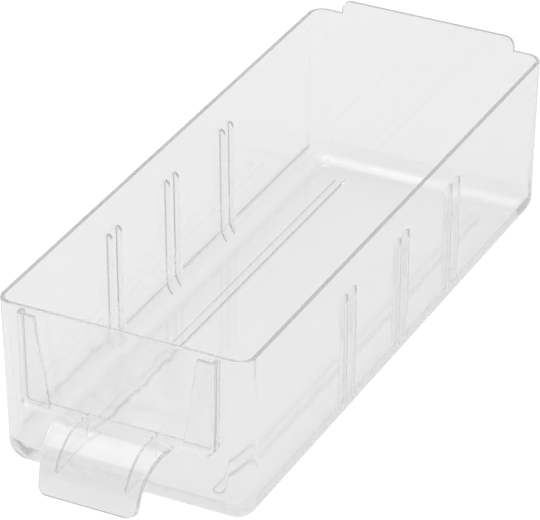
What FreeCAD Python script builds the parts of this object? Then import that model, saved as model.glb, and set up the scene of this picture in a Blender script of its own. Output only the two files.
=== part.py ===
import FreeCAD
import Part
import math
import os

V = FreeCAD.Vector

# Tub: outside sizes at the rim, angles in degrees
body_length = 141.5
body_width = 55.0
body_height = 37.4
wall_thickness = 0.9
floor_thickness = 1.2
wall_draft = 0.45
rim_corner_radius = 3.4
base_corner_radius = 4.6
base_fillet = 4.5

# Tub: inside, where the corners and the foot thicken towards the base
inner_base_corner_radius = 4.8
inner_fillet = 4.6

# Runners under the floor
runner_height = 0.5
runner_width = 2.6
runner_flat_width = 0.7
runner_spacing = 32.6
runner_end_margin = 8.5

# Divider ribs on the side walls
rib_pair_count = 3
rib_pair_pitch = 25.0
rib_gap = 2.9
rib_root_thickness = 1.0
rib_edge_thickness = 0.7
rib_reach = 1.4
rib_top_below_rim = 7.8
rib_curve_height = 2.5

# Stop tab on the rear rim
tab_side_margin = 7.0
tab_height = 3.2
tab_corner_radius = 2.2

# Label holder on the front wall
holder_side_margin = 5.9
holder_taper = 0.6
holder_depth = 2.2
holder_top_below_rim = 0.4
holder_wall = 1.0
holder_corner_radius = 2.0
holder_edge_radius = 1.0
shelf_top_height = 17.0
shelf_thickness = 0.9
flap_thickness = 0.9
flap_gap_top = 35.2
flap_gap_bottom = 29.2

# Finger pull
handle_thickness = 1.2
handle_root_width = 26.1
handle_tip_width = 20.9
handle_flat = 4.0
handle_bend_radius = 10.2
handle_bend_angle = 72.0
handle_lip_length = 3.78
handle_tip_radius = 2.0

# Gussets under the pull
gusset_spacing = 15.2
gusset_thickness = 1.0
gusset_bottom_height = 10.3

# Values that follow from the sizes above
draft_run = math.tan(math.radians(wall_draft))
bend = math.radians(handle_bend_angle)
bend_reach = handle_bend_radius * math.sin(bend)
bend_drop = handle_bend_radius * (1 - math.cos(bend))
handle_reach = handle_flat + bend_reach + handle_lip_length * math.cos(bend)
tab_width = body_width - 2 * tab_side_margin
holder_width_top = body_width - 2 * holder_side_margin
holder_width_bottom = holder_width_top - holder_taper
front_y = (handle_reach - body_length) / 2
rear_y = front_y + body_length
base_z = runner_height
rim_z = base_z + body_height
floor_z = base_z + floor_thickness
shelf_z = base_z + shelf_top_height
shelf_bottom_z = shelf_z - shelf_thickness
holder_top_z = rim_z - holder_top_below_rim
holder_front_y = front_y - holder_depth
bury = wall_thickness / 2


def wire_solid(points_and_arcs, direction):
    """Extrude the closed outline made of straight and arc edges."""
    face = Part.Face(Part.Wire(points_and_arcs))
    return face.extrude(direction)


def straight(a, b):
    return Part.LineSegment(a, b).toShape()


def arc(a, middle, b):
    return Part.Arc(a, middle, b).toShape()


def polygon_solid(points, direction):
    return Part.Face(Part.makePolygon(points + [points[0]])).extrude(direction)


def drafted_block(inset, bottom_z, top_z, radii, fillet):
    """Tapered block set in by inset, with a rounded foot and the given low and high upright corner radii."""
    def sides(z):
        shrink = inset + (rim_z - z) * draft_run
        return body_width / 2 - shrink, front_y + shrink, rear_y - shrink
    low_x, low_front, low_rear = sides(bottom_z)
    high_x, high_front, high_rear = sides(top_z)
    across = [V(-low_x, front_y, bottom_z), V(low_x, front_y, bottom_z),
              V(high_x, front_y, top_z), V(-high_x, front_y, top_z)]
    along = [V(-body_width / 2, low_front, bottom_z), V(-body_width / 2, low_rear, bottom_z),
             V(-body_width / 2, high_rear, top_z), V(-body_width / 2, high_front, top_z)]
    block = polygon_solid(across, V(0, body_length, 0)).common(polygon_solid(along, V(body_width, 0, 0)))
    middle_z = (bottom_z + top_z) / 2
    half_x, half_front, half_rear = sides(middle_z)
    for x, y in ((-half_x, half_front), (half_x, half_front), (half_x, half_rear), (-half_x, half_rear)):
        uprights = [e for e in block.Edges if e.BoundBox.ZLength > middle_z - bottom_z]
        corner = min(uprights, key=lambda e: e.CenterOfMass.distanceToPoint(V(x, y, middle_z)))
        first, last = radii
        if corner.Vertexes[0].Z > corner.Vertexes[-1].Z:
            first, last = last, first
        block = block.makeFillet(first, last, [corner])
    foot = [e for e in block.Edges if e.BoundBox.ZMax < bottom_z + 0.01]
    return block.makeFillet(fillet, foot)


def inner_half_width(z):
    return body_width / 2 - wall_thickness - (rim_z - z) * draft_run


def make_tub():
    outside = drafted_block(0, base_z, rim_z, (base_corner_radius, rim_corner_radius), base_fillet)
    inner_radii = (inner_base_corner_radius, rim_corner_radius - wall_thickness)
    cavity = drafted_block(wall_thickness, floor_z, rim_z, inner_radii, inner_fillet)
    return outside, cavity, outside.cut(cavity)


def make_rib(cavity, side, centre_y):
    """Blade against a side wall: curved top, thin inner edge, foot cut to the floor's curve."""
    top_z = rim_z - rib_top_below_rim
    full_z = top_z - rib_curve_height
    low_z = floor_z - floor_thickness / 2
    wall_x = -inner_half_width(top_z)
    curve = Part.Ellipse(V(wall_x, 0, top_z), V(wall_x + rib_reach, 0, full_z), V(wall_x, 0, full_z))
    low_wall = V(-inner_half_width(low_z) - bury, 0, low_z)
    low_edge = V(-inner_half_width(low_z) + rib_reach, 0, low_z)
    outline = [straight(V(wall_x - bury, 0, top_z), V(wall_x, 0, top_z)),
               Part.ArcOfEllipse(curve, 0, math.pi / 2).toShape(),
               straight(V(wall_x + rib_reach, 0, full_z), low_edge),
               straight(low_edge, low_wall),
               straight(low_wall, V(wall_x - bury, 0, top_z))]
    blade = wire_solid(outline, V(0, rib_root_thickness, 0))
    blade.translate(V(0, -rib_root_thickness / 2, 0))
    root_x = -inner_half_width(low_z) - bury
    edge_x = -inner_half_width(low_z) + rib_reach
    plan = polygon_solid([V(root_x, -rib_root_thickness / 2, low_z), V(edge_x, -rib_edge_thickness / 2, low_z),
                          V(edge_x, rib_edge_thickness / 2, low_z), V(root_x, rib_root_thickness / 2, low_z)],
                         V(0, 0, top_z - low_z))
    blade = blade.common(plan)
    if side > 0:
        blade = blade.mirror(V(0, 0, 0), V(1, 0, 0))
    blade.translate(V(0, centre_y, 0))
    return blade.common(cavity)


def make_runner(side):
    """Bar under the floor with rounded sides, round ends and a narrow flat that it stands on."""
    half = runner_width / 2
    flat = runner_flat_width / 2
    slope = half - flat
    radius = (slope ** 2 + runner_height ** 2) / (2 * runner_height)
    turn = math.asin(slope / radius)
    low_y = front_y + runner_end_margin + half
    high_y = rear_y - runner_end_margin - half
    middle = V(flat + radius * math.sin(turn / 2), 0, radius * (1 - math.cos(turn / 2)))
    section = Part.Face(Part.Wire([straight(V(0, 0, 0), V(flat, 0, 0)),
                                   arc(V(flat, 0, 0), middle, V(half, 0, runner_height)),
                                   straight(V(half, 0, runner_height), V(0, 0, runner_height)),
                                   straight(V(0, 0, runner_height), V(0, 0, 0))]))
    right = section.extrude(V(0, high_y - low_y, 0))
    bar = right.fuse(right.mirror(V(0, 0, 0), V(1, 0, 0)))
    bar.translate(V(0, low_y, 0))
    rear_end = section.revolve(V(0, 0, 0), V(0, 0, 1), 180)
    front_end = section.revolve(V(0, 0, 0), V(0, 0, 1), -180)
    rear_end.translate(V(0, high_y, 0))
    front_end.translate(V(0, low_y, 0))
    runner = bar.fuse([rear_end, front_end]).removeSplitter()
    runner.translate(V(side * runner_spacing / 2, 0, 0))
    return runner


def make_tab():
    """Upright plate in line with the rear wall, with rounded top corners."""
    half = tab_width / 2
    r = tab_corner_radius
    low = rim_z
    high = rim_z + tab_height
    y = rear_y - wall_thickness
    slant = r * math.sqrt(0.5)
    edges = [straight(V(-half, y, low), V(half, y, low)),
             straight(V(half, y, low), V(half, y, high - r)),
             arc(V(half, y, high - r), V(half - r + slant, y, high - r + slant), V(half - r, y, high)),
             straight(V(half - r, y, high), V(r - half, y, high)),
             arc(V(r - half, y, high), V(r - half - slant, y, high - r + slant), V(-half, y, high - r)),
             straight(V(-half, y, high - r), V(-half, y, low))]
    return wire_solid(edges, V(0, wall_thickness, 0))


def holder_half_width(z):
    share = (z - shelf_bottom_z) / (holder_top_z - shelf_bottom_z)
    return (holder_width_bottom + share * (holder_width_top - holder_width_bottom)) / 2


def holder_block(inset, low_z, high_z, radius, rear, front):
    """Right half of the holder's front view, from the middle line to the side, rounded at its lower corner."""
    low_x = holder_half_width(low_z) - inset
    high_x = holder_half_width(high_z) - inset
    slant = radius * (1 - math.sqrt(0.5))
    edges = [straight(V(0, rear, low_z), V(low_x - radius, rear, low_z)),
             arc(V(low_x - radius, rear, low_z), V(low_x - slant, rear, low_z + slant),
                 V(low_x, rear, low_z + radius)),
             straight(V(low_x, rear, low_z + radius), V(high_x, rear, high_z)),
             straight(V(high_x, rear, high_z), V(0, rear, high_z)),
             straight(V(0, rear, high_z), V(0, rear, low_z))]
    return wire_solid(edges, V(0, front - rear, 0))


def rounded_side(rear):
    """Right half of the holder's block with a rounded upright front edge that leans with the holder's side."""
    low_x = holder_half_width(shelf_bottom_z)
    lean = V(holder_half_width(holder_top_z) - low_x, 0, holder_top_z - shelf_bottom_z)
    r = holder_edge_radius
    slant = r * (1 - math.sqrt(0.5))
    z = shelf_bottom_z
    edges = [straight(V(0, rear, z), V(low_x, rear, z)),
             straight(V(low_x, rear, z), V(low_x, holder_front_y + r, z)),
             arc(V(low_x, holder_front_y + r, z), V(low_x - slant, holder_front_y + slant, z),
                 V(low_x - r, holder_front_y, z)),
             straight(V(low_x - r, holder_front_y, z), V(0, holder_front_y, z)),
             straight(V(0, holder_front_y, z), V(0, rear, z))]
    return wire_solid(edges, lean)


def make_label_guide(outside, side):
    """Side return, slanted flap and closed lower corner of the label holder."""
    split_x = flap_gap_bottom / 2
    rear = front_y + bury
    pocket_front = holder_front_y + flap_thickness
    pocket_radius = holder_corner_radius - holder_wall
    whole = holder_block(0, shelf_bottom_z, holder_top_z, holder_corner_radius, rear, holder_front_y)
    pocket = holder_block(holder_wall, shelf_z, rim_z, pocket_radius, rear, pocket_front)
    beyond = body_width
    window = polygon_solid([V(-beyond, 0, shelf_bottom_z), V(split_x, 0, shelf_bottom_z),
                            V(split_x, 0, shelf_z), V(flap_gap_top / 2, 0, holder_top_z),
                            V(-beyond, 0, holder_top_z)], V(0, -beyond, 0))
    window.translate(V(0, front_y + beyond / 2, 0))
    middle = Part.makeBox(split_x, beyond, beyond, V(0, holder_front_y - beyond / 2, 0))
    guide = whole.common(rounded_side(rear)).cut(pocket).cut(window).cut(middle).cut(outside)
    if side < 0:
        guide = guide.mirror(V(0, 0, 0), V(1, 0, 0))
    return guide


def make_label_shelf(outside):
    """Ledge between the guides, with its top where the label card stands."""
    bar = Part.makeBox(flap_gap_bottom, holder_depth + bury, shelf_thickness,
                       V(-flap_gap_bottom / 2, holder_front_y, shelf_bottom_z))
    return bar.cut(outside)


def handle_line(offset):
    """Points along the pull's curved face, offset inwards: flat end, mid bend, bend end, lip end."""
    radius = handle_bend_radius - offset
    bend_y = front_y - handle_flat
    centre_z = shelf_z - handle_bend_radius

    def on_bend(angle):
        return V(0, bend_y - radius * math.sin(angle), centre_z + radius * math.cos(angle))
    end = on_bend(bend)
    lip = end + V(0, -math.cos(bend), -math.sin(bend)) * handle_lip_length
    return V(0, bend_y, shelf_z - offset), on_bend(bend / 2), end, lip


def make_handle():
    """Curved tongue: flat root, bend and straight lip, narrower at the tip, with rounded tip corners."""
    flat_out, mid_out, end_out, lip_out = handle_line(0)
    flat_in, mid_in, end_in, lip_in = handle_line(handle_thickness)
    root_out = V(0, holder_front_y, shelf_z)
    root_in = V(0, holder_front_y, shelf_z - handle_thickness)
    edges = [straight(root_out, flat_out), arc(flat_out, mid_out, end_out), straight(end_out, lip_out),
             straight(lip_out, lip_in), straight(lip_in, end_in), arc(end_in, mid_in, flat_in),
             straight(flat_in, root_in), straight(root_in, root_out)]
    plate = wire_solid(edges, V(handle_root_width, 0, 0))
    plate.translate(V(-handle_root_width / 2, 0, 0))
    tip_y = front_y - handle_reach
    plan = polygon_solid([V(-handle_root_width / 2, front_y, 0), V(handle_root_width / 2, front_y, 0),
                          V(handle_tip_width / 2, tip_y, 0), V(-handle_tip_width / 2, tip_y, 0)],
                         V(0, 0, rim_z))
    tongue = plate.common(plan)
    lip_z = max(lip_out.z, lip_in.z)
    corners = [e for e in tongue.Edges
               if e.BoundBox.ZMax < lip_z + 0.1 and e.BoundBox.XLength < handle_thickness]
    return tongue.makeFillet(handle_tip_radius, corners)


def make_gusset(outside, neighbours, side):
    """Upright web between the front wall and the underside of the pull."""
    half = handle_thickness / 2
    flat = handle_line(half)[0]
    wall_y = front_y + (rim_z - gusset_height_z()) * draft_run + bury
    centre_z = shelf_z - handle_bend_radius
    radius = handle_bend_radius - half
    tip_angle = math.acos((gusset_height_z() - centre_z) / radius)
    tip = V(0, flat.y - radius * math.sin(tip_angle), gusset_height_z())
    middle = V(0, flat.y - radius * math.sin(tip_angle / 2), centre_z + radius * math.cos(tip_angle / 2))
    edges = [straight(V(0, wall_y, flat.z), flat), arc(flat, middle, tip), straight(tip, V(0, wall_y, tip.z)),
             straight(V(0, wall_y, tip.z), V(0, wall_y, flat.z))]
    web = wire_solid(edges, V(gusset_thickness, 0, 0))
    web.translate(V(side * gusset_spacing / 2 - gusset_thickness / 2, 0, 0))
    web = web.cut(outside)
    for piece in neighbours:
        web = web.cut(piece)
    return web


def gusset_height_z():
    return base_z + gusset_bottom_height


def build():
    nodes = {}
    outside, cavity, tub = make_tub()
    nodes["tub"] = tub
    for side, word in ((-1, "left"), (1, "right")):
        number = 0
        for pair in range(rib_pair_count):
            pair_y = (front_y + rear_y) / 2 + (pair - (rib_pair_count - 1) / 2) * rib_pair_pitch
            for half in (-1, 1):
                number += 1
                rib_y = pair_y + half * (rib_gap + rib_root_thickness) / 2
                nodes["divider_rib_%s_%d" % (word, number)] = make_rib(cavity, side, rib_y)
        nodes["floor_runner_" + word] = make_runner(side)
        nodes["label_guide_" + word] = make_label_guide(outside, side)
    nodes["rear_stop_tab"] = make_tab()
    nodes["label_shelf"] = make_label_shelf(outside)
    nodes["pull_handle"] = make_handle()
    for side, word in ((-1, "left"), (1, "right")):
        carriers = [nodes["pull_handle"], nodes["label_shelf"]]
        nodes["handle_gusset_" + word] = make_gusset(outside, carriers, side)
    return nodes


os.makedirs("parts", exist_ok=True)
for name, shape in build().items():
    box = shape.BoundBox
    print("%-20s solids %d valid %s volume %8.2f  x %7.2f %7.2f  y %7.2f %7.2f  z %6.2f %6.2f" % (
        name, len(shape.Solids), shape.isValid(), shape.Volume,
        box.XMin, box.XMax, box.YMin, box.YMax, box.ZMin, box.ZMax))
    shape.exportStep("parts/%s.step" % name)
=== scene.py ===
import bpy
import bmesh
import math
from mathutils import Matrix, Vector


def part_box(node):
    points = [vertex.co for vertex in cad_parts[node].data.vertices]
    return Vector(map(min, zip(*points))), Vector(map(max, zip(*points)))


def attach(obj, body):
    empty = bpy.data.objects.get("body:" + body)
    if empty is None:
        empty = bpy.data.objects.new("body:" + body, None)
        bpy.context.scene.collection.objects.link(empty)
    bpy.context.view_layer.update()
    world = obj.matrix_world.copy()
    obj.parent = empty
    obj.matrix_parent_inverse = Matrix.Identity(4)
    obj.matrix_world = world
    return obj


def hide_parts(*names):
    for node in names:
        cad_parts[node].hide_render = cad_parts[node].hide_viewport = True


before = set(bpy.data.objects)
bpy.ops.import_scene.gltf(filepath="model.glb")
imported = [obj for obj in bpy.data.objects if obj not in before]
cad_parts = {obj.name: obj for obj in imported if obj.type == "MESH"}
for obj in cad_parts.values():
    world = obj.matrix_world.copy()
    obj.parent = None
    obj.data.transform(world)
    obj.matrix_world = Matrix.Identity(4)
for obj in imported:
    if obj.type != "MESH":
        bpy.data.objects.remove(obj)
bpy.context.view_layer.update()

# Everything below is in millimetres until a mesh is finished, then it is scaled to metres.
MM = 0.001
tub_low, tub_high = (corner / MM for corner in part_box("tub"))
FRONT, REAR = tub_low.y, tub_high.y
BASE, RIM = tub_low.z, tub_high.z
HALF_WIDTH = tub_high.x
WALL, FLOOR_THICK = 0.9, 1.2
FLOOR = BASE + FLOOR_THICK
DRAFT = math.tan(math.radians(0.45))
RIM_CORNER, BASE_CORNER = 3.4, 4.6
FOOT, INNER_FOOT = 4.5, 4.6
INNER_BASE_CORNER = 4.8
RIM_ROUND, EDGE_ROUND = 0.25, 0.18
CORNER_STEPS, FOOT_STEPS, RIM_STEPS = 14, 12, 4
# Lengths below this count as none when edges are picked
TOUCH = 0.01

PARTS = ["drawer_tub", "divider_ribs_left", "divider_ribs_right", "floor_runners", "label_holder",
         "finger_pull", "pull_gussets", "rear_stop"]
STANDS_FOR = {
    "drawer_tub": ["tub"],
    "divider_ribs_left": ["divider_rib_left_%d" % n for n in range(1, 7)],
    "divider_ribs_right": ["divider_rib_right_%d" % n for n in range(1, 7)],
    "floor_runners": ["floor_runner_left", "floor_runner_right"],
    "label_holder": ["label_guide_left", "label_guide_right", "label_shelf"],
    "finger_pull": ["pull_handle"],
    "pull_gussets": ["handle_gusset_left", "handle_gusset_right"],
    "rear_stop": ["rear_stop_tab"],
}


def corner_radius(z):
    """Plan radius of the tub's upright corners at a height."""
    share = (z - BASE) / (RIM - BASE)
    return BASE_CORNER + share * (RIM_CORNER - BASE_CORNER)


def inner_corner(z):
    """Plan radius of the inside's upright corners, larger at the base so that the corners thicken."""
    share = (z - BASE) / (RIM - BASE)
    return INNER_BASE_CORNER + share * (RIM_CORNER - WALL - INNER_BASE_CORNER)


def plan_ring(bm, inset, radius, z):
    """Rounded rectangle of vertices, set in from the tub's outside at the rim."""
    x, front, rear = HALF_WIDTH - inset, FRONT + inset, REAR - inset
    centres = ((x - radius, rear - radius, 0), (radius - x, rear - radius, 90),
               (radius - x, front + radius, 180), (x - radius, front + radius, 270))
    ring = []
    for cx, cy, start in centres:
        for i in range(CORNER_STEPS + 1):
            a = math.radians(start + 90 * i / CORNER_STEPS)
            ring.append(bm.verts.new((cx + radius * math.cos(a), cy + radius * math.sin(a), z)))
    return ring


def tub_mesh():
    """Closed thin-walled tub in rings: rounded foot, drafted wall, rounded rim, inside wall, inside foot."""
    bm = bmesh.new()
    rings = []

    def add(z, extra, radius):
        rings.append(plan_ring(bm, (RIM - z) * DRAFT + extra, radius, z))
    for i in range(FOOT_STEPS + 1):
        t = math.radians(90 * i / FOOT_STEPS)
        z, extra = BASE + FOOT * (1 - math.cos(t)), FOOT * (1 - math.sin(t))
        add(z, extra, corner_radius(z) - extra)
    for i in range(RIM_STEPS + 1):
        t = math.radians(90 * i / RIM_STEPS)
        z, extra = RIM - RIM_ROUND + RIM_ROUND * math.sin(t), RIM_ROUND * (1 - math.cos(t))
        add(z, extra, corner_radius(z) - extra)
    for i in range(RIM_STEPS + 1):
        t = math.radians(90 - 90 * i / RIM_STEPS)
        z, less = RIM - RIM_ROUND + RIM_ROUND * math.sin(t), RIM_ROUND * (1 - math.cos(t))
        add(z, WALL - less, inner_corner(z) + less)
    for i in range(FOOT_STEPS + 1):
        t = math.radians(90 - 90 * i / FOOT_STEPS)
        z, extra = FLOOR + INNER_FOOT * (1 - math.cos(t)), INNER_FOOT * (1 - math.sin(t))
        add(z, WALL + extra, inner_corner(z) - extra)
    for a, b in zip(rings, rings[1:]):
        for i in range(len(a)):
            j = (i + 1) % len(a)
            bm.faces.new((a[i], a[j], b[j], b[i]))
    bm.faces.new(list(reversed(rings[0])))
    bm.faces.new(rings[-1])
    return bm


def rounded(bm, edges, radius, steps=2):
    """Round the given edges of a solid."""
    bmesh.ops.bevel(bm, geom=edges, offset=radius, segments=steps, profile=0.5, affect="EDGES",
                    clamp_overlap=True)


def prism(outline, normal, start, depth):
    """Solid from a closed outline of 2-D points, pushed along X or Y."""
    bm = bmesh.new()
    place = {"X": lambda a, b, c: (c, a, b), "Y": lambda a, b, c: (a, c, b)}[normal]
    low = [bm.verts.new(place(a, b, start)) for a, b in outline]
    high = [bm.verts.new(place(a, b, start + depth)) for a, b in outline]
    bm.faces.new(low)
    bm.faces.new(list(reversed(high)))
    for i in range(len(low)):
        j = (i + 1) % len(low)
        bm.faces.new((low[j], low[i], high[i], high[j]))
    bmesh.ops.recalc_face_normals(bm, faces=bm.faces)
    return bm


def mirror_x(bm):
    """Mirror a finished solid across the middle plane."""
    bmesh.ops.scale(bm, vec=(-1, 1, 1), verts=bm.verts)
    bmesh.ops.reverse_faces(bm, faces=bm.faces)
    return bm


def arc_points(cx, cy, radius, start, end, steps):
    """Points on an arc, angles in degrees."""
    turns = [math.radians(start + (end - start) * i / steps) for i in range(steps + 1)]
    return [(cx + radius * math.cos(a), cy + radius * math.sin(a)) for a in turns]


# Divider ribs
RIB_GAP, RIB_ROOT, RIB_EDGE, RIB_REACH = 2.9, 1.0, 0.7, 1.4
RIB_TOP_BELOW_RIM, RIB_POINT, RIB_PITCH = 7.8, 2.5, 25.0
RIB_INTO_WALL, RIB_TOP_LIFT, RIB_STEPS = 0.5, 0.1, 8


def inner_x(z):
    """X of the right wall's inner face at a height."""
    return HALF_WIDTH - WALL - (RIM - z) * DRAFT


def rib_solid(centre_y):
    """Blade on the right wall with a curved top, whose foot ends inside the plastic of the tub's foot."""
    top = RIM - RIB_TOP_BELOW_RIM
    foot_x = inner_x(FLOOR) - INNER_FOOT
    foot_z = FLOOR + INNER_FOOT
    mid = INNER_FOOT + WALL / 2
    edge = inner_x(FLOOR) - RIB_REACH
    last = math.degrees(math.acos((edge - foot_x) / mid))
    outline = [(inner_x(top) + RIB_INTO_WALL, top + RIB_TOP_LIFT)]
    for i in range(RIB_STEPS + 1):
        a = math.radians(90 * i / RIB_STEPS)
        z = top - RIB_POINT * (1 - math.cos(a))
        outline.append((inner_x(z) - RIB_REACH * math.sin(a), z))
    outline.append((edge, foot_z - mid * math.sin(math.radians(last))))
    for share in (0.75, 0.5, 0.25):
        a = math.radians(last * share)
        outline.append((foot_x + mid * math.cos(a), foot_z - mid * math.sin(a)))
    outline.append((foot_x + mid, foot_z))
    bm = bmesh.new()
    sides = []
    for side in (-1, 1):
        ring = []
        for x, z in outline:
            share = min(1.0, max(0.0, (inner_x(z) - x) / RIB_REACH))
            half = (RIB_ROOT + share * (RIB_EDGE - RIB_ROOT)) / 2
            ring.append(bm.verts.new((x, centre_y + side * half, z)))
        sides.append(ring)
    bm.faces.new(sides[0])
    bm.faces.new(list(reversed(sides[1])))
    for i in range(len(outline)):
        j = (i + 1) % len(outline)
        bm.faces.new((sides[0][j], sides[0][i], sides[1][i], sides[1][j]))
    bmesh.ops.triangulate(bm, faces=[f for f in bm.faces if len(f.verts) > 4])
    bmesh.ops.recalc_face_normals(bm, faces=bm.faces)

    def at_tip(v):
        return v.co.x < inner_x(v.co.z) - 0.9 * RIB_REACH and v.co.z < top - RIB_POINT + TOUCH
    rounded(bm, [e for e in bm.edges if abs(e.verts[0].co.y - e.verts[1].co.y) < TOUCH
                 and all(at_tip(v) for v in e.verts)], EDGE_ROUND)
    return bm


# Runners; the flat is given as half its width
RUNNER_WIDTH, RUNNER_FLAT, RUNNER_SPACING, RUNNER_MARGIN = 2.6, 0.35, 32.6, 8.5
RUNNER_INTO_FLOOR, RUNNER_SIDE_STEPS, RUNNER_END_STEPS = 0.3, 6, 12


def runner_solid(side):
    """Bar with rounded sides, round ends and a narrow flat to stand on, reaching a little into the floor."""
    x = side * RUNNER_SPACING / 2
    full = RUNNER_WIDTH / 2
    low, high = FRONT + RUNNER_MARGIN + full, REAR - RUNNER_MARGIN - full
    slope = full - RUNNER_FLAT
    radius = (slope ** 2 + BASE ** 2) / (2 * BASE)
    widest = math.asin(slope / radius)
    turns = [widest * i / RUNNER_SIDE_STEPS for i in range(RUNNER_SIDE_STEPS + 1)]
    levels = [(RUNNER_FLAT + radius * math.sin(a), radius * (1 - math.cos(a))) for a in turns]
    levels.append((full, BASE + RUNNER_INTO_FLOOR))
    bm = bmesh.new()
    rings = []
    for half, z in levels:
        outline = arc_points(x, high, half, 0, 180, RUNNER_END_STEPS)
        outline += arc_points(x, low, half, 180, 360, RUNNER_END_STEPS)
        rings.append([bm.verts.new((px, py, z)) for px, py in outline])
    for lower, upper in zip(rings, rings[1:]):
        for i in range(len(lower)):
            j = (i + 1) % len(lower)
            bm.faces.new((lower[i], lower[j], upper[j], upper[i]))
    bm.faces.new(list(reversed(rings[0])))
    bm.faces.new(rings[-1])
    return bm


# Label holder
HOLDER_TOP, HOLDER_BOTTOM, HOLDER_DEPTH = 43.2, 42.6, 2.2
HOLDER_BELOW_RIM, HOLDER_WALL, HOLDER_CORNER, HOLDER_EDGE = 0.4, 1.0, 2.0, 1.0
SHELF_TOP, SHELF_THICK, FLAP_THICK = 17.0, 0.9, 0.9
FLAP_GAP_TOP, FLAP_GAP_BOTTOM = 35.2, 29.2
SHELF_Z = BASE + SHELF_TOP
SHELF_LOW = SHELF_Z - SHELF_THICK
HOLDER_HIGH = RIM - HOLDER_BELOW_RIM
HOLDER_FRONT = FRONT - HOLDER_DEPTH
IN_WALL = FRONT + 0.55
HOLDER_STEPS, HOLDER_EDGE_STEPS = 8, 6
# A hardly visible drop that keeps the point at the flap's foot from lying on a straight edge
HOLDER_KINK = 0.01


def holder_side(z):
    """Half width of the label holder at a height."""
    share = (z - SHELF_LOW) / (HOLDER_HIGH - SHELF_LOW)
    return (HOLDER_BOTTOM + share * (HOLDER_TOP - HOLDER_BOTTOM)) / 2


def holder_line(inset):
    """Right half of the holder's outline, set in by inset: side, corner and shelf, from the top down."""
    low = SHELF_LOW + inset * SHELF_THICK / HOLDER_WALL
    radius = HOLDER_CORNER - inset
    x = holder_side(low + radius) - inset
    corner = arc_points(x - radius, low + radius, radius, 0, -90, HOLDER_STEPS)
    top = (holder_side(HOLDER_HIGH) - inset, HOLDER_HIGH)
    return [top] + corner + [(FLAP_GAP_BOTTOM / 2, low - HOLDER_KINK)]


def both_sides(right):
    """A line from its right end over the middle to its mirror image on the left."""
    return right + [(-x, z) for x, z in reversed(right)]


def holder_solid():
    """Side returns and shelf as one bent bar standing out from the wall, with a slanted flap at each end."""
    bm = bmesh.new()
    behind_flap = HOLDER_FRONT + FLAP_THICK
    outer, inner = both_sides(holder_line(0)), both_sides(holder_line(HOLDER_WALL))

    def row(points, y, inset=0.0):
        kept = [(math.copysign(min(abs(x), holder_side(z) - inset), x), z) for x, z in points]
        return [bm.verts.new((x, y, z)) for x, z in kept]
    rows = []
    for i in range(HOLDER_EDGE_STEPS + 1):
        a = math.radians(90 - 90 * i / HOLDER_EDGE_STEPS)
        inset = HOLDER_EDGE * (1 - math.cos(a))
        rows.append(row(outer, HOLDER_FRONT + HOLDER_EDGE * (1 - math.sin(a)), inset))
    rows += [row(outer, IN_WALL), row(inner, IN_WALL), row(inner, behind_flap)]
    front, inner_front = rows[0], rows[-1]
    flap_top, flap_low = (FLAP_GAP_TOP / 2, HOLDER_HIGH), (FLAP_GAP_BOTTOM / 2, SHELF_Z)
    low_right, top_right = row((flap_low, flap_top), HOLDER_FRONT)
    top_left, low_left = row(((-flap_top[0], HOLDER_HIGH), (-flap_low[0], SHELF_Z)), HOLDER_FRONT)
    back_right, back_left = row((flap_top, (-flap_top[0], HOLDER_HIGH)), behind_flap)
    turn = len(outer) // 2
    bm.faces.new(front + [top_left, low_left, low_right, top_right])
    for a, b in zip(rows, rows[1:]):
        for i in range(len(outer) - 1):
            bm.faces.new((a[i], b[i], b[i + 1], a[i + 1]))
    bm.faces.new((low_right, low_left, inner_front[turn], inner_front[turn - 1]))
    bm.faces.new([back_right] + inner_front[:turn])
    bm.faces.new(inner_front[turn:] + [back_left])
    bm.faces.new((top_right, low_right, inner_front[turn - 1], back_right))
    bm.faces.new((low_left, top_left, back_left, inner_front[turn]))
    bm.faces.new([top_right, back_right] + [ring[0] for ring in reversed(rows)])
    bm.faces.new([ring[-1] for ring in rows] + [back_left, top_left])
    bmesh.ops.triangulate(bm, faces=[f for f in bm.faces if len(f.verts) > 4])
    bmesh.ops.recalc_face_normals(bm, faces=bm.faces)
    return bm


# Finger pull
PULL_THICK, PULL_ROOT, PULL_TIP, PULL_FLAT = 1.2, 26.1, 20.9, 4.0
PULL_RADIUS, PULL_ANGLE, PULL_LIP, PULL_TIP_ROUND, PULL_EDGE_ROUND = 10.2, 72.0, 3.78, 2.0, 0.15
# Edges that turn by more than this many degrees are rounded
PULL_SHARP = 60
PULL_STEPS, PULL_TIP_STEPS = 28, 8
# The root ends this far inside the shelf and this far below its top, and the flat begins this far before it
PULL_INSET, PULL_SINK, PULL_START = 0.3, 0.03, 0.1
BEND_Y = FRONT - PULL_FLAT
BEND_Z = SHELF_Z - PULL_RADIUS
BEND = math.radians(PULL_ANGLE)
PULL_REACH = PULL_FLAT + PULL_RADIUS * math.sin(BEND) + PULL_LIP * math.cos(BEND)


def pull_profile(offset):
    """Face of the pull from the side, offset below its top face, from root to lip. Points are (y, z)."""
    radius = PULL_RADIUS - offset
    root_z = SHELF_Z - (SHELF_THICK / 2 if offset else PULL_SINK)
    flat_z = SHELF_Z - offset if offset else root_z
    points = [(HOLDER_FRONT + PULL_INSET, root_z), (HOLDER_FRONT - PULL_START, flat_z)]
    for i in range(PULL_STEPS + 1):
        a = BEND * i / PULL_STEPS
        points.append((BEND_Y - radius * math.sin(a), BEND_Z + radius * math.cos(a)))
    y, z = points[-1]
    for share in (0.5, 1.0):
        points.append((y - math.cos(BEND) * PULL_LIP * share, z - math.sin(BEND) * PULL_LIP * share))
    return points


def pull_half_width(y):
    """Half width of the pull at a distance from the front wall."""
    share = (FRONT - y) / PULL_REACH
    return (PULL_ROOT + share * (PULL_TIP - PULL_ROOT)) / 2


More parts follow.
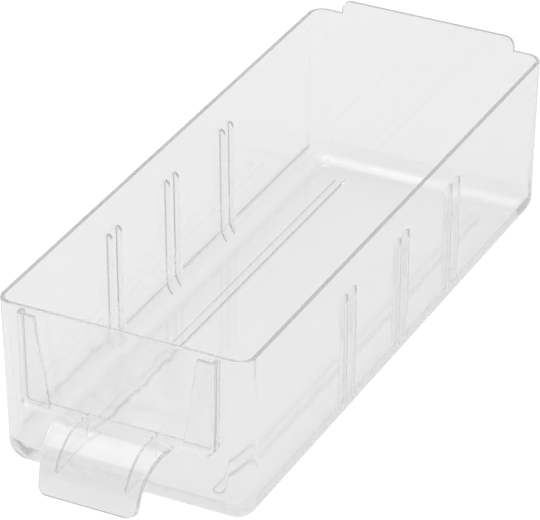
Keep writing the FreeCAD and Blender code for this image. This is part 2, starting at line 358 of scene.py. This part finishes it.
def pull_solid():
    """Curved tongue, narrower at the tip, with rounded tip corners and slightly rounded long edges."""
    bm = bmesh.new()
    top, under = pull_profile(0), pull_profile(PULL_THICK)
    outline = top + list(reversed(under))
    sides = [[bm.verts.new((side * pull_half_width(y), y, z)) for y, z in outline] for side in (-1, 1)]
    last = len(outline) - 1
    for ring in sides:
        for i in range(len(top) - 1):
            bm.faces.new((ring[i], ring[i + 1], ring[last - 1 - i], ring[last - i]))
    for i in range(len(outline)):
        j = (i + 1) % len(outline)
        bm.faces.new((sides[0][j], sides[0][i], sides[1][i], sides[1][j]))
    bmesh.ops.recalc_face_normals(bm, faces=bm.faces)
    near_tip = min(top[-1][1], under[-1][1]) + 0.5

    def is_corner(a, b):
        return max(a.z, b.z) < near_tip and abs(a.x - b.x) < 0.2 and (a - b).length > 0.9 * PULL_THICK
    corners = [e for e in bm.edges if is_corner(*(v.co for v in e.verts))]
    rounded(bm, corners, PULL_TIP_ROUND, PULL_TIP_STEPS)
    sharp = [e for e in bm.edges if e.is_manifold and e.calc_face_angle() > math.radians(PULL_SHARP)
             and max(v.co.y for v in e.verts) < HOLDER_FRONT + PULL_INSET - TOUCH]
    rounded(bm, sharp, PULL_EDGE_ROUND)
    return bm


# Gussets
GUSSET_SPACING, GUSSET_THICK, GUSSET_LOW, GUSSET_STEPS = 15.2, 0.55, 10.3, 16


def gusset_solid(side):
    """Web between the front wall and the pull, ending inside the plastic of both."""
    low = BASE + GUSSET_LOW
    radius = PULL_RADIUS - PULL_THICK / 2
    tip = math.degrees(math.acos((low - BEND_Z) / radius))
    outline = [(IN_WALL, low), (IN_WALL, BEND_Z + radius), (BEND_Y, BEND_Z + radius)]
    for i in range(1, GUSSET_STEPS + 1):
        a = math.radians(tip * i / GUSSET_STEPS)
        outline.append((BEND_Y - radius * math.sin(a), BEND_Z + radius * math.cos(a)))
    return prism(outline, "X", side * GUSSET_SPACING / 2 - GUSSET_THICK / 2, GUSSET_THICK)


# Rear stop tab
TAB_WIDTH, TAB_HEIGHT, TAB_CORNER, TAB_INTO_WALL, TAB_STEPS = 41.0, 3.2, 2.2, 0.45, 10


def tab_solid():
    """Upright plate in line with the rear wall."""
    half = TAB_WIDTH / 2
    high = RIM + TAB_HEIGHT
    low = RIM - TAB_INTO_WALL
    outline = [(-half, low), (half, low)]
    outline += arc_points(half - TAB_CORNER, high - TAB_CORNER, TAB_CORNER, 0, 90, TAB_STEPS)
    outline += arc_points(TAB_CORNER - half, high - TAB_CORNER, TAB_CORNER, 90, 180, TAB_STEPS)
    bm = prism(outline, "Y", REAR - WALL, WALL)
    rounded(bm, [e for e in bm.edges if max(v.co.z for v in e.verts) > low + TOUCH
                 and abs(e.verts[0].co.y - e.verts[1].co.y) < TOUCH], EDGE_ROUND)
    return bm


def as_object(bm, name, part):
    """Scene object from a solid, with the number of its piece kept on every face."""
    mesh = bpy.data.meshes.new(name)
    bm.to_mesh(mesh)
    bm.free()
    for _ in PARTS:
        mesh.materials.append(None)
    mesh.polygons.foreach_set("material_index", [PARTS.index(part)] * len(mesh.polygons))
    made = bpy.data.objects.new(name, mesh)
    bpy.context.scene.collection.objects.link(made)
    return made


def united(objects):
    """One closed surface from solids that reach into each other."""
    whole = objects[0]
    for other in objects[1:]:
        step = whole.modifiers.new("join", "BOOLEAN")
        step.operation = "UNION"
        step.solver = "EXACT"
        step.object = other
    bpy.context.view_layer.update()
    evaluated = whole.evaluated_get(bpy.context.evaluated_depsgraph_get())
    mesh = bpy.data.meshes.new_from_object(evaluated)
    for o in objects:
        old = o.data
        bpy.data.objects.remove(o)
        bpy.data.meshes.remove(old)
    return mesh


# Points of the joined surface closer than this are one
SEAM = 0.004
solids = [(tub_mesh(), "drawer_tub")]
for pair in (-1, 0, 1):
    for half in (-1, 1):
        y = (FRONT + REAR) / 2 + pair * RIB_PITCH + half * (RIB_GAP + RIB_ROOT) / 2
        solids.append((rib_solid(y), "divider_ribs_right"))
        solids.append((mirror_x(rib_solid(y)), "divider_ribs_left"))
for side in (-1, 1):
    solids.append((runner_solid(side), "floor_runners"))
solids.append((holder_solid(), "label_holder"))
solids.append((pull_solid(), "finger_pull"))
for side in (-1, 1):
    solids.append((gusset_solid(side), "pull_gussets"))
solids.append((tab_solid(), "rear_stop"))
joined = united([as_object(bm, "solid_%d" % i, part) for i, (bm, part) in enumerate(solids)])

welded = bmesh.new()
welded.from_mesh(joined)
bmesh.ops.remove_doubles(welded, verts=welded.verts, dist=SEAM)
bmesh.ops.dissolve_degenerate(welded, edges=welded.edges, dist=SEAM)
welded.to_mesh(joined)
welded.free()

# Look. The waves' height is in millimetres, and the painted tones of guided light are those of the front and
# of the rest.
IOR, ROUGHNESS, CLEAR = 1.59, 0.07, 0.987
WAVES_PER_METRE, WAVE_HEIGHT = 110.0, 0.7
TURNS, PAINTED_GUIDED_LIGHT_FRONT, PAINTED_GUIDED_LIGHT_BODY = 7.5, 0.84, 0.66
SHADOW_THROUGH, SHADOW_ALONG, SHADOW_POWER = 0.99, 0.7, 4.0


def grey(tone):
    """A colour without a tint."""
    return (tone, tone, tone, 1)


def node_setter(tree):
    """A function that adds a node to a tree and fills its inputs, given by name or by number as i0, i1."""
    def add(kind, settings=(), **inputs):
        node = tree.nodes.new("ShaderNode" + kind)
        for name, value in dict(settings).items():
            setattr(node, name, value)
        for name, value in inputs.items():
            key = int(name[1:]) if name[0] == "i" and name[1:].isdigit() else name.replace("_", " ")
            if isinstance(value, bpy.types.NodeSocket):
                tree.links.new(value, node.inputs[key])
            else:
                node.inputs[key].default_value = value
        return node
    return add


def clear_plastic():
    """Clear glossy polystyrene with flow waves behind the label holder and a trace of grey."""
    mat = bpy.data.materials.new("clear_plastic")
    mat.use_nodes = True
    links, add = mat.node_tree.links, node_setter(mat.node_tree)
    shader = mat.node_tree.nodes["Principled BSDF"]
    shader.inputs["Base Color"].default_value = grey(CLEAR)
    shader.inputs["Transmission Weight"].default_value = 1.0
    shader.inputs["IOR"].default_value = IOR
    shader.inputs["Roughness"].default_value = ROUGHNESS

    # Flow waves in the front wall behind the label holder, as shallow bumps of both faces of the wall
    place = add("TexCoord").outputs["Object"]
    axes = add("SeparateXYZ", i0=place).outputs
    waves = add("TexNoise", Vector=place, Scale=WAVES_PER_METRE, Detail=1.0)

    def near(axis, middle, inside, outside):
        """1 up to a distance from a plane, falling to 0 at a larger one. Lengths are in millimetres."""
        offset = add("Math", {"operation": "SUBTRACT"}, i0=axes[axis], i1=middle * MM)
        apart = add("Math", {"operation": "ABSOLUTE"}, i0=offset.outputs[0])
        return add("MapRange", {"interpolation_type": "SMOOTHSTEP"}, Value=apart.outputs[0],
                   From_Min=inside * MM, From_Max=outside * MM, To_Min=1.0, To_Max=0.0).outputs["Result"]

    def times(first, second):
        return add("Math", {"operation": "MULTIPLY"}, i0=first, i1=second).outputs[0]
    label = times(near("X", 0, 13, 19), near("Z", (SHELF_LOW + HOLDER_HIGH) / 2, 7, 11))
    wavy = times(label, near("Y", FRONT + WALL / 2, WALL, 2.2 * WALL))
    bump = add("Bump", Strength=wavy, Distance=WAVE_HEIGHT * MM, Height=waves.outputs[0])
    links.new(bump.outputs["Normal"], shader.inputs["Normal"])

    # Light from a lamp goes straight on through it, and less of it where it meets a wall at a slant
    facing = add("LayerWeight", Blend=0.5).outputs["Facing"]
    steep = add("Math", {"operation": "POWER"}, i0=facing, i1=SHADOW_POWER).outputs[0]
    shade = add("Mix", {"data_type": "RGBA"}, Factor=steep)
    shade.inputs["A"].default_value = grey(SHADOW_THROUGH)
    shade.inputs["B"].default_value = grey(SHADOW_ALONG)
    passing = add("BsdfTransparent", Color=shade.outputs["Result"]).outputs["BSDF"]
    path = add("LightPath").outputs
    either = add("Math", {"operation": "MAXIMUM"}, i0=path["Is Shadow Ray"], i1=path["Is Diffuse Ray"])

    # After some turns inside a wall, a light path meets a grey diffuse surface instead of the glass: painted
    # light and shade in place of the light that would come out.
    # The front is painted lighter than the long walls, so that the lines at its thin details show less dark.
    deep = add("Math", {"operation": "GREATER_THAN"}, i0=path["Ray Depth"], i1=TURNS)
    # Painted light and shade: the grey of guided light, lighter at the front than at the rest
    tone = add("MapRange", Value=axes["Y"], From_Min=(FRONT + 3) * MM, From_Max=(FRONT + 9) * MM,
               To_Min=PAINTED_GUIDED_LIGHT_FRONT, To_Max=PAINTED_GUIDED_LIGHT_BODY)
    painted_guided_light = add("BsdfDiffuse", Color=tone.outputs["Result"]).outputs["BSDF"]
    guided = add("MixShader", Fac=deep.outputs[0], i1=shader.outputs["BSDF"], i2=painted_guided_light)
    mix = add("MixShader", Fac=either.outputs[0], i1=guided.outputs["Shader"], i2=passing)
    links.new(mix.outputs["Shader"], mat.node_tree.nodes["Material Output"].inputs["Surface"])
    return mat


# Faces that meet at less than this many degrees are shaded as one
SMOOTH_BELOW = 32
plastic = clear_plastic()
for number, name in enumerate(PARTS):
    bm = bmesh.new()
    bm.from_mesh(joined)
    bmesh.ops.delete(bm, geom=[f for f in bm.faces if f.material_index != number], context="FACES")
    bm.transform(Matrix.Scale(MM, 4))
    for f in bm.faces:
        f.material_index = 0
        f.smooth = True
    mesh = bpy.data.meshes.new(name)
    bm.to_mesh(mesh)
    bm.free()
    mesh.materials.append(plastic)
    mesh.set_sharp_from_angle(angle=math.radians(SMOOTH_BELOW))
    piece = bpy.data.objects.new(name, mesh)
    bpy.context.scene.collection.objects.link(piece)
    weighted = piece.modifiers.new("normals", "WEIGHTED_NORMAL")
    weighted.keep_sharp = True
    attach(piece, "root")
    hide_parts(*STANDS_FOR[name])

# Floor, a little under the drawer
FLOOR_REACH, FLOOR_DROP = 6.0, -0.0001
corners = [(x * FLOOR_REACH, y * FLOOR_REACH, FLOOR_DROP) for x, y in ((-1, -1), (1, -1), (1, 1), (-1, 1))]
floor_mesh = bpy.data.meshes.new("studio_floor")
floor_mesh.from_pydata(corners, [], [(0, 1, 2, 3)])
floor = bpy.data.objects.new("studio_floor", floor_mesh)
bpy.context.scene.collection.objects.link(floor)
paper = bpy.data.materials.new("studio_paper")
paper.use_nodes = True
surface = paper.node_tree.nodes["Principled BSDF"]
surface.inputs["Roughness"].default_value = 0.9
surface.inputs["Specular IOR Level"].default_value = 0.0
add = node_setter(paper.node_tree)
# Rays from the camera find white paper, and all others a light grey one
tone = add("Mix", {"data_type": "RGBA"}, Factor=add("LightPath").outputs["Is Camera Ray"])
tone.inputs["A"].default_value = grey(0.755)
tone.inputs["B"].default_value = grey(1.0)
paper.node_tree.links.new(tone.outputs["Result"], surface.inputs["Base Color"])
floor_mesh.materials.append(paper)

# Light: a pale room, brightest overhead, dimmer low down and a little dimmer behind the camera
ROOM_STRENGTH, ROOM_LOW, ROOM_HIGH, ROOM_WHITE = 1.1, 0.4, 0.95, 0.91
world = bpy.data.worlds.new("studio")
bpy.context.scene.world = world
world.use_nodes = True
add = node_setter(world.node_tree)
background = world.node_tree.nodes["Background"]
split = add("SeparateXYZ", i0=add("TexCoord").outputs["Generated"])
height = add("ValToRGB", i0=split.outputs["Z"])
for stop, (position, level) in zip(height.color_ramp.elements, ((0.0, ROOM_LOW), (0.8, ROOM_HIGH))):
    stop.position, stop.color = position, grey(level)
dark = add("MapRange", {"interpolation_type": "SMOOTHSTEP"}, Value=split.outputs["Y"],
           From_Min=-0.6, From_Max=0.2, To_Min=0.8, To_Max=1.0)
room = add("VectorMath", {"operation": "SCALE"}, i0=height.outputs["Color"], Scale=dark.outputs["Result"])
pick = add("Mix", {"data_type": "RGBA"}, Factor=add("LightPath").outputs["Is Camera Ray"])
pick.inputs["B"].default_value = grey(ROOM_WHITE)
world.node_tree.links.new(room.outputs[0], pick.inputs["A"])
world.node_tree.links.new(pick.outputs["Result"], background.inputs["Color"])
background.inputs["Strength"].default_value = ROOM_STRENGTH

KEY_PLACE, KEY_SIZE, KEY_POWER = Vector((-0.30, 0.05, 1.12)), 1.3, 6.0
key = bpy.data.lights.new("key", "AREA")
key.shape = "RECTANGLE"
key.size = key.size_y = KEY_SIZE
key.energy = KEY_POWER
key_object = bpy.data.objects.new("key", key)
bpy.context.scene.collection.objects.link(key_object)
key_object.location = KEY_PLACE
key_object.rotation_euler = (-KEY_PLACE).to_track_quat("-Z", "Y").to_euler()

# Camera
AZIMUTH, ELEVATION, ROLL = math.radians(26.482), math.radians(30.168), math.radians(0.044)
FOCAL_PIXELS, FRAME_WIDTH = 3931.54, 540
# The camera's place in millimetres from the front face's middle at the height of the floor's underside
STAND = (310.401, -558.832, 424.422)
camera_data = bpy.data.cameras.new("camera")
camera_data.sensor_width = 36.0
camera_data.sensor_fit = "HORIZONTAL"
camera_data.lens = FOCAL_PIXELS * camera_data.sensor_width / FRAME_WIDTH
camera_data.clip_start, camera_data.clip_end = 0.05, 20
camera = bpy.data.objects.new("camera", camera_data)
bpy.context.scene.collection.objects.link(camera)
level = math.cos(ELEVATION)
back = Vector((math.sin(AZIMUTH) * level, -math.cos(AZIMUTH) * level, math.sin(ELEVATION)))
right = Vector((math.cos(AZIMUTH), math.sin(AZIMUTH), 0))
up = back.cross(right)
turn = Matrix((right, up, back)).transposed()
place = Vector((STAND[0], STAND[1] + FRONT, STAND[2] + BASE)) * MM
camera.matrix_world = Matrix.Translation(place) @ (turn @ Matrix.Rotation(ROLL, 3, "Z")).to_4x4()
bpy.context.scene.camera = camera

bpy.context.scene.view_settings.view_transform = "Standard"
# Light in clear walls is guided round many turns before it comes out
BOUNCES = 64
light_paths = bpy.context.scene.cycles
light_paths.max_bounces = BOUNCES
light_paths.glossy_bounces = BOUNCES
light_paths.transmission_bounces = BOUNCES
light_paths.transparent_max_bounces = BOUNCES
